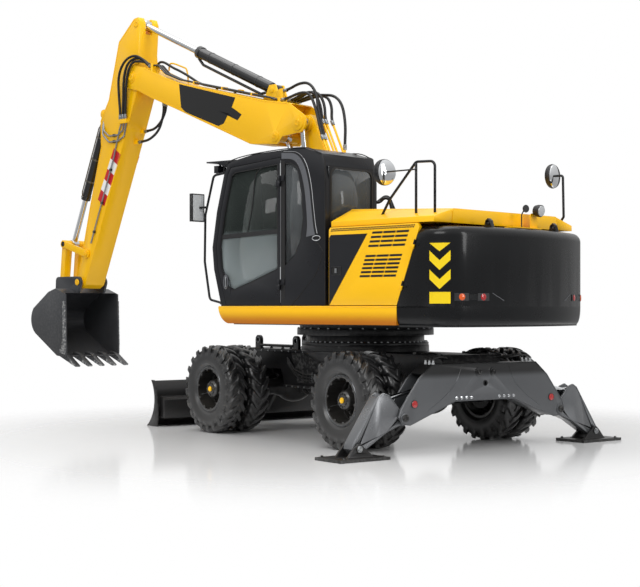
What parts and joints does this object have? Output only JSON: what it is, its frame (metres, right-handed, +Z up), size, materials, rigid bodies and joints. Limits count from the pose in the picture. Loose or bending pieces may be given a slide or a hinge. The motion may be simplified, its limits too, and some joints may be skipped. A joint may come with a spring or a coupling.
{
  "type": "wheeled excavator",
  "caption": "Wheeled excavator with a two-piece boom, dipper and bucket on a slewing upper structure, with a dozer blade and stabiliser legs.",
  "frame": {"origin": "on the ground, under the centre of the slew ring", "axes": "+X towards the undercarriage's blade end, +Y to its left, +Z up; the upper structure stands turned 9.3 degrees to the left, as it parks"},
  "size_m": [8.5952, 4.02, 5.48],
  "materials": {
    "tyre_rubber": "matte",
    "rim_black": "satin",
    "clear_glass": "clear",
    "ram_chrome": "polished",
    "ram_black": "gloss",
    "yellow_paint": "gloss",
    "ground_steel": "satin",
    "cab_black": "gloss",
    "seat_fabric": "woven",
    "engine_grey": "rough",
    "hose_rubber": "matte",
    "rail_black": "satin",
    "chassis_black": "satin"
  },
  "bodies": {
    "undercarriage": {"chassis_frame": "chassis_black", "slew_ring_fixed_race": "chassis_black", "front_axle": "chassis_black", "rear_axle": "chassis_black", "gearbox_and_drive_shafts": "chassis_black", "stabiliser_beam": "chassis_black"},
    "left_knuckle": {"steering_knuckle_left": "chassis_black"},
    "right_knuckle": {"steering_knuckle_right": "chassis_black"},
    "tie_rod": {"tie_rod": "chassis_black"},
    "front_left_wheels": {"front_left_rims": "rim_black", "front_left_tyres": "tyre_rubber"},
    "front_right_wheels": {"front_right_rims": "rim_black", "front_right_tyres": "tyre_rubber"},
    "rear_left_wheels": {"rear_left_rims": "rim_black", "rear_left_tyres": "tyre_rubber"},
    "rear_right_wheels": {"rear_right_rims": "rim_black", "rear_right_tyres": "tyre_rubber"},
    "blade": {"dozer_blade": "chassis_black"},
    "blade_ram_barrels": {"blade_ram_barrels": "ram_black"},
    "blade_ram_rods": {"blade_ram_rods": "ram_chrome"},
    "stabiliser_left": {"stabiliser_leg_left": "chassis_black"},
    "stabiliser_pad_left": {"stabiliser_pad_left": "chassis_black"},
    "stabiliser_ram_barrel_left": {"stabiliser_ram_left_barrel": "ram_black"},
    "stabiliser_ram_rod_left": {"stabiliser_ram_left_rod": "ram_chrome"},
    "stabiliser_right": {"stabiliser_leg_right": "chassis_black"},
    "stabiliser_pad_right": {"stabiliser_pad_right": "chassis_black"},
    "stabiliser_ram_barrel_right": {"stabiliser_ram_right_barrel": "ram_black"},
    "stabiliser_ram_rod_right": {"stabiliser_ram_right_rod": "ram_chrome"},
    "upper_structure": {"turntable_frame": "chassis_black", "side_skirts": "yellow_paint", "counterweight": "cab_black", "engine_block": "engine_grey", "fuel_tank_and_toolbox": "cab_black", "engine_cover_sides": "yellow_paint", "cab_shell": "cab_black", "cab_glass": "clear_glass", "operator_seat": "seat_fabric", "rails_and_heater_hoses": "rail_black", "mirrors": "rail_black"},
    "cab_door": {"cab_door": "cab_black", "cab_door_glass": "clear_glass"},
    "service_door_left": {"service_door_left": "yellow_paint"},
    "service_door_right": {"service_door_right": "yellow_paint"},
    "engine_hood": {"engine_hood": "yellow_paint"},
    "lower_boom": {"lower_boom": "yellow_paint", "knee_hoses": "hose_rubber"},
    "lift_ram_barrels": {"lift_ram_barrels": "ram_black"},
    "lift_ram_rods": {"lift_ram_rods": "ram_chrome"},
    "upper_boom": {"upper_boom": "yellow_paint", "elbow_hoses": "hose_rubber"},
    "adjusting_ram_barrel": {"adjusting_ram_barrel": "ram_black"},
    "adjusting_ram_rod": {"adjusting_ram_rod": "ram_chrome"},
    "dipper": {"dipper": "yellow_paint"},
    "dipper_ram_barrel": {"dipper_ram_barrel": "ram_black"},
    "dipper_ram_rod": {"dipper_ram_rod": "ram_chrome"},
    "bucket": {"bucket": "ground_steel"},
    "bucket_rocker": {"bucket_rocker": "yellow_paint"},
    "bucket_link": {"bucket_link": "yellow_paint"},
    "bucket_ram_barrel": {"bucket_ram_barrel": "ram_black"},
    "bucket_ram_rod": {"bucket_ram_rod": "ram_chrome"}
  },
  "joints": [
    {"name": "slew", "type": "hinge", "parent": "undercarriage", "child": "upper_structure", "pos_m": [0, 0, 1.19], "axis": [0, 0, 1], "continuous": true},
    {"name": "steer_left", "type": "hinge", "parent": "undercarriage", "child": "left_knuckle", "pos_m": [1.45, 0.64, 0.526], "axis": [0, 0, 1], "range_deg": [-30, 30]},
    {"name": "steer_right", "type": "hinge", "parent": "undercarriage", "child": "right_knuckle", "pos_m": [1.45, -0.64, 0.526], "axis": [0, 0, 1], "range_deg": [-30, 30]},
    {"name": "tie_rod_end", "type": "hinge", "parent": "left_knuckle", "child": "tie_rod", "pos_m": [1.73, 0.64, 0.44], "axis": [0, 0, 1], "range_deg": [-30, 30]},
    {"name": "front_left_roll", "type": "hinge", "parent": "left_knuckle", "child": "front_left_wheels", "pos_m": [1.45, 0.99, 0.526], "axis": [0, 1, 0], "continuous": true},
    {"name": "front_right_roll", "type": "hinge", "parent": "right_knuckle", "child": "front_right_wheels", "pos_m": [1.45, -0.99, 0.526], "axis": [0, 1, 0], "continuous": true},
    {"name": "rear_left_roll", "type": "hinge", "parent": "undercarriage", "child": "rear_left_wheels", "pos_m": [-1.15, 0.99, 0.526], "axis": [0, 1, 0], "continuous": true},
    {"name": "rear_right_roll", "type": "hinge", "parent": "undercarriage", "child": "rear_right_wheels", "pos_m": [-1.15, -0.99, 0.526], "axis": [0, 1, 0], "continuous": true},
    {"name": "blade_lift", "type": "hinge", "parent": "undercarriage", "child": "blade", "pos_m": [2.19, 0, 0.52], "axis": [0, -1, 0], "range_deg": [-8, 30]},
    {"name": "blade_ram_tilt", "type": "hinge", "parent": "undercarriage", "child": "blade_ram_barrels", "pos_m": [2.185, 0, 0.85], "axis": [0, -1, 0], "range_deg": [-4.07, 13.89]},
    {"name": "blade_ram_slide", "type": "slide", "parent": "blade_ram_barrels", "child": "blade_ram_rods", "axis": [0.6132, 0, -0.7899], "range_m": [-0.1182, 0.03372]},
    {"name": "stabiliser_lift_left", "type": "hinge", "parent": "undercarriage", "child": "stabiliser_left", "pos_m": [-1.9275, 1.12, 0.39], "axis": [1, 0, 0], "range_deg": [0, 70]},
    {"name": "stabiliser_pad_swivel_left", "type": "hinge", "parent": "stabiliser_left", "child": "stabiliser_pad_left", "pos_m": [-1.9275, 1.7, 0.115], "axis": [1, 0, 0], "range_deg": [-25, 25]},
    {"name": "stabiliser_ram_left_tilt", "type": "hinge", "parent": "undercarriage", "child": "stabiliser_ram_barrel_left", "pos_m": [-1.9275, 0.105, 0.83], "axis": [1, 0, 0], "range_deg": [-0.5, 2.76]},
    {"name": "stabiliser_ram_left_slide", "type": "slide", "parent": "stabiliser_ram_barrel_left", "child": "stabiliser_ram_rod_left", "axis": [0, 0.9788, -0.2046], "range_m": [-0.31172, 0.003]},
    {"name": "stabiliser_lift_right", "type": "hinge", "parent": "undercarriage", "child": "stabiliser_right", "pos_m": [-1.9275, -1.12, 0.39], "axis": [-1, 0, 0], "range_deg": [0, 70]},
    {"name": "stabiliser_pad_swivel_right", "type": "hinge", "parent": "stabiliser_right", "child": "stabiliser_pad_right", "pos_m": [-1.9275, -1.7, 0.115], "axis": [-1, 0, 0], "range_deg": [-25, 25]},
    {"name": "stabiliser_ram_right_tilt", "type": "hinge", "parent": "undercarriage", "child": "stabiliser_ram_barrel_right", "pos_m": [-1.9275, -0.105, 0.83], "axis": [-1, 0, 0], "range_deg": [-0.5, 2.76]},
    {"name": "stabiliser_ram_right_slide", "type": "slide", "parent": "stabiliser_ram_barrel_right", "child": "stabiliser_ram_rod_right", "axis": [0, -0.9788, -0.2046], "range_m": [-0.31172, 0.003]},
    {"name": "cab_door_swing", "type": "hinge", "parent": "upper_structure", "child": "cab_door", "pos_m": [-0.02735, 1.25609, 2.4], "axis": [0, 0, 1], "range_deg": [0, 150]},
    {"name": "service_door_left_swing", "type": "hinge", "parent": "upper_structure", "child": "service_door_left", "pos_m": [-1.7464, 0.99283, 1.523], "axis": [-0.3539, -0.0579, 0.9335], "range_deg": [0, 100]},
    {"name": "service_door_right_swing", "type": "hinge", "parent": "upper_structure", "child": "service_door_right", "pos_m": [-1.33851, -1.498, 1.523], "axis": [0.3539, 0.0579, -0.9335], "range_deg": [0, 100]},
    {"name": "hood_lift", "type": "hinge", "parent": "upper_structure", "child": "engine_hood", "pos_m": [-0.60593, -0.09922, 2.592], "axis": [-0.1616, 0.9869, 0], "range_deg": [0, 60]},
    {"name": "boom_lift", "type": "hinge", "parent": "upper_structure", "child": "lower_boom", "pos_m": [0.05921, 0.0097, 1.85], "axis": [0.1616, -0.9869, 0], "range_deg": [-55, 12]},
    {"name": "lift_ram_tilt", "type": "hinge", "parent": "upper_structure", "child": "lift_ram_barrels", "pos_m": [0.61185, 0.10019, 1.45], "axis": [0.1616, -0.9869, 0], "range_deg": [-53.29, 12.02]},
    {"name": "lift_ram_slide", "type": "slide", "parent": "lift_ram_barrels", "child": "lift_ram_rods", "axis": [0.1282, 0.021, 0.9915], "range_m": [-0.61803, 0.13719]},
    {"name": "boom_fold", "type": "hinge", "parent": "lower_boom", "child": "upper_boom", "pos_m": [0.90791, 0.14868, 3.74], "axis": [-0.1616, 0.9869, 0], "range_deg": [-35, 30], "deforming": ["knee_hoses"]},
    {"name": "adjusting_ram_tilt", "type": "hinge", "parent": "lower_boom", "child": "adjusting_ram_barrel", "pos_m": [0.55264, 0.0905, 2.25], "axis": [0.1616, -0.9869, 0], "range_deg": [-2.3, 2.6]},
    {"name": "adjusting_ram_slide", "type": "slide", "parent": "adjusting_ram_barrel", "child": "adjusting_ram_rod", "axis": [0.4814, 0.0788, 0.8729], "range_m": [-0.20765, 0.24175]},
    {"name": "dipper_swing", "type": "hinge", "parent": "upper_boom", "child": "dipper", "pos_m": [4.08558, 0.66904, 4.665], "axis": [0.1616, -0.9869, 0], "range_deg": [-50, 54], "deforming": ["elbow_hoses"]},
    {"name": "dipper_ram_tilt", "type": "hinge", "parent": "upper_boom", "child": "dipper_ram_barrel", "pos_m": [1.47042, 0.24079, 4.215], "axis": [0.1616, -0.9869, 0], "range_deg": [-4.17, 4.46]},
    {"name": "dipper_ram_slide", "type": "slide", "parent": "dipper_ram_barrel", "child": "dipper_ram_rod", "axis": [0.898, 0.1471, 0.4146], "range_m": [-0.60253, 0.55812]},
    {"name": "bucket_curl", "type": "hinge", "parent": "dipper", "child": "bucket", "pos_m": [5.25994, 0.86135, 1.87], "axis": [-0.1616, 0.9869, 0], "range_deg": [-45, 100]},
    {"name": "rocker_swing", "type": "hinge", "parent": "dipper", "child": "bucket_rocker", "pos_m": [5.12178, 0.83872, 2.275], "axis": [-0.1616, 0.9869, 0], "range_deg": [-33.85, 74]},
    {"name": "link_swing", "type": "hinge", "parent": "bucket_rocker", "child": "bucket_link", "pos_m": [5.66455, 0.92761, 2.43], "axis": [-0.1616, 0.9869, 0], "range_deg": [-44, 20.35]},
    {"name": "bucket_ram_tilt", "type": "hinge", "parent": "dipper", "child": "bucket_ram_barrel", "pos_m": [4.8652, 0.79671, 4.25], "axis": [-0.1616, 0.9869, 0], "range_deg": [-4.6, 9]},
    {"name": "bucket_ram_slide", "type": "slide", "parent": "bucket_ram_barrel", "child": "bucket_ram_rod", "axis": [0.4013, 0.0657, -0.9136], "range_m": [-0.2775, 0.613]}
  ],
  "couplings": [
    {"joint": "steer_right", "follows": "steer_left", "ratio": 1},
    {"joint": "tie_rod_end", "follows": "steer_left", "ratio": -1},
    {"joint": "blade_ram_tilt", "follows": "blade_lift", "ratio": 0.44636},
    {"joint": "blade_ram_slide", "follows": "blade_lift", "m_per_rad": -0.22002},
    {"joint": "stabiliser_ram_left_tilt", "follows": "stabiliser_lift_left", "ratio": 0.032283},
    {"joint": "stabiliser_ram_left_slide", "follows": "stabiliser_lift_left", "m_per_rad": -0.25269},
    {"joint": "stabiliser_ram_right_tilt", "follows": "stabiliser_lift_right", "ratio": 0.032283},
    {"joint": "stabiliser_ram_right_slide", "follows": "stabiliser_lift_right", "m_per_rad": -0.25269},
    {"joint": "lift_ram_tilt", "follows": "boom_lift", "ratio": 0.95987},
    {"joint": "lift_ram_slide", "follows": "boom_lift", "m_per_rad": 0.6407},
    {"joint": "adjusting_ram_tilt", "follows": "boom_fold", "ratio": -0.059898},
    {"joint": "adjusting_ram_slide", "follows": "boom_fold", "m_per_rad": -0.39084},
    {"joint": "dipper_ram_tilt", "follows": "dipper_swing", "ratio": 0.073383},
    {"joint": "dipper_ram_slide", "follows": "dipper_swing", "m_per_rad": -0.63612},
    {"joint": "rocker_swing", "follows": "bucket_curl", "ratio": 0.73},
    {"joint": "link_swing", "follows": "bucket_curl", "ratio": -0.43},
    {"joint": "bucket_ram_tilt", "follows": "bucket_curl", "ratio": 0.08},
    {"joint": "bucket_ram_slide", "follows": "bucket_curl", "m_per_rad": 0.3495}
  ]
}
